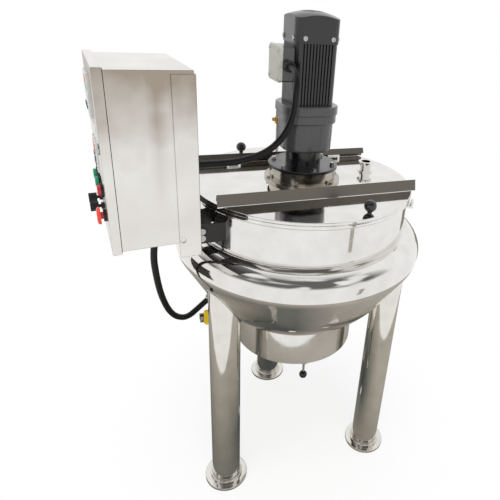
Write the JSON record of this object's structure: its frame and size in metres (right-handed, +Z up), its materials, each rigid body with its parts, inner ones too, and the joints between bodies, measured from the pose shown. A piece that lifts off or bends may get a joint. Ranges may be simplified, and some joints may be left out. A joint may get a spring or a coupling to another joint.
{
  "type": "jacketed cooking kettle",
  "caption": "Round-bottomed jacketed kettle on three tubular legs, with a hinged lid, anchor agitator, top gear motor and side control cabinet.",
  "frame": {"origin": "centre of the bottom outlet's mouth, on the kettle's axis", "axes": "+Z up along the kettle's axis, -Y towards the front cover, -X towards the control cabinet"},
  "size_m": [0.7627, 0.602, 1.18],
  "materials": {
    "polished_stainless": "mirror polished stainless steel",
    "satin_stainless": "brushed stainless sheet",
    "raw_stainless": "dull stainless inside",
    "black_cast": "semi-gloss black paint on castings",
    "black_plastic": "moulded black plastic",
    "black_knob": "glossy black phenolic",
    "black_rubber": "black rubber cable sheath",
    "red_plastic": "glossy red plastic",
    "green_plastic": "glossy green plastic",
    "yellow_plastic": "yellow plastic sleeve",
    "white_ptfe": "white PTFE",
    "grey_plastic": "grey instrument plastic",
    "brass": "plain brass",
    "foam_seal": "foamed black gasket",
    "plated_steel": "zinc plated steel"
  },
  "bodies": {
    "kettle": {"inner_pot": "polished_stainless", "rim_ring": "polished_stainless", "jacket_shell": "polished_stainless", "heater_elements": "plated_steel", "heater_housing": "polished_stainless", "housing_base": "satin_stainless", "leg_front_left": "polished_stainless", "leg_front_right": "polished_stainless", "leg_rear": "polished_stainless", "bridge_plate": "polished_stainless", "hinge_pins": "polished_stainless", "lid_port": "polished_stainless", "bridge_clamps": "polished_stainless", "motor_stand": "polished_stainless", "bolts": "plated_steel", "gearbox_housing": "black_cast", "gearbox_adapter": "black_cast", "motor_frame": "black_cast", "fan_cowl": "black_cast", "terminal_box": "black_cast", "terminal_lid": "black_cast", "shaft_seal": "polished_stainless", "outlet_pipe": "polished_stainless", "outlet_valve": "polished_stainless", "drain_cock": "plated_steel", "filling_cock": "brass", "cabinet_body": "satin_stainless", "door_hinges": "plated_steel", "mounting_channel": "satin_stainless", "support_bracket": "polished_stainless", "switchgear": "grey_plastic", "cable_glands": "black_plastic", "motor_cable": "black_rubber", "heater_cable": "black_rubber"},
    "agitator": {"agitator_shaft": "polished_stainless", "anchor_frame": "polished_stainless", "paddle_blades": "polished_stainless", "wall_scrapers": "white_ptfe"},
    "rotor": {"motor_rotor": "plated_steel", "cooling_fan": "black_plastic"},
    "front_lid": {"front_cover": "polished_stainless", "front_knob": "black_knob"},
    "rear_lid": {"rear_cover": "polished_stainless", "rear_knob": "black_knob"},
    "door": {"door_panel": "satin_stainless", "door_gasket": "foam_seal", "door_lock": "plated_steel", "temperature_controller": "grey_plastic", "speed_panel": "grey_plastic", "control_bases": "black_plastic"},
    "stop_push": {"stop_button": "red_plastic"},
    "heat_push": {"heat_button": "green_plastic"},
    "stir_push": {"stir_button": "green_plastic"},
    "stir_dial": {"stir_knob": "black_plastic"},
    "heat_dial": {"heat_knob": "black_plastic"},
    "emergency_push": {"emergency_stop": "red_plastic"},
    "outlet": {"outlet_ball": "polished_stainless", "outlet_lever": "plated_steel"},
    "drain_turn": {"drain_handle": "yellow_plastic"},
    "vent_turn": {"vent_lever": "black_plastic"}
  },
  "joints": [
    {"name": "agitator_spin", "type": "hinge", "parent": "kettle", "child": "agitator", "pos_m": [0, 0, 0.438], "axis": [0, 0, 1], "continuous": true},
    {"name": "rotor_spin", "type": "hinge", "parent": "kettle", "child": "rotor", "pos_m": [0, 0, 0.788], "axis": [0, 0, 1], "continuous": true},
    {"name": "front_lid_hinge", "type": "hinge", "parent": "kettle", "child": "front_lid", "pos_m": [0, -0.123, 0.5565], "axis": [-1, 0, 0], "range_deg": [0, 95]},
    {"name": "rear_lid_hinge", "type": "hinge", "parent": "kettle", "child": "rear_lid", "pos_m": [0, 0.123, 0.5565], "axis": [1, 0, 0], "range_deg": [0, 95]},
    {"name": "door_hinge", "type": "hinge", "parent": "kettle", "child": "door", "pos_m": [-0.43148, 0.00764, 0.672], "axis": [0, 0, -1], "range_deg": [0, 120]},
    {"name": "stop_press", "type": "slide", "parent": "door", "child": "stop_push", "axis": [0.9968, 0.0797, 0], "range_m": [0, 0.003], "stiffness_N_per_m": 500, "springref_m": -0.002},
    {"name": "heat_press", "type": "slide", "parent": "door", "child": "heat_push", "axis": [0.9968, 0.0797, 0], "range_m": [0, 0.003], "stiffness_N_per_m": 500, "springref_m": -0.002},
    {"name": "stir_press", "type": "slide", "parent": "door", "child": "stir_push", "axis": [0.9968, 0.0797, 0], "range_m": [0, 0.003], "stiffness_N_per_m": 500, "springref_m": -0.002},
    {"name": "stir_turn", "type": "hinge", "parent": "door", "child": "stir_dial", "pos_m": [-0.43464, -0.14108, 0.576], "axis": [0.9968, 0.0797, 0], "range_deg": [0, 270]},
    {"name": "heat_turn", "type": "hinge", "parent": "door", "child": "heat_dial", "pos_m": [-0.43815, -0.09722, 0.576], "axis": [0.9968, 0.0797, 0], "range_deg": [0, 270]},
    {"name": "emergency_press", "type": "slide", "parent": "door", "child": "emergency_push", "axis": [0.9968, 0.0797, 0], "range_m": [0, 0.004]},
    {"name": "outlet_lever_turn", "type": "hinge", "parent": "kettle", "child": "outlet", "pos_m": [0, -0.098, 0.068], "axis": [0, 1, 0], "range_deg": [0, 90]},
    {"name": "drain_handle_turn", "type": "hinge", "parent": "kettle", "child": "drain_turn", "pos_m": [-0.24, -0.02, 0.189], "axis": [0, 1, 0], "range_deg": [0, 90]},
    {"name": "vent_lever_turn", "type": "hinge", "parent": "kettle", "child": "vent_turn", "pos_m": [0.0285, 0.2806, 0.624], "axis": [0, 1, 0], "range_deg": [0, 90]}
  ],
  "couplings": [
    {"joint": "rotor_spin", "follows": "agitator_spin", "ratio": 20}
  ]
}
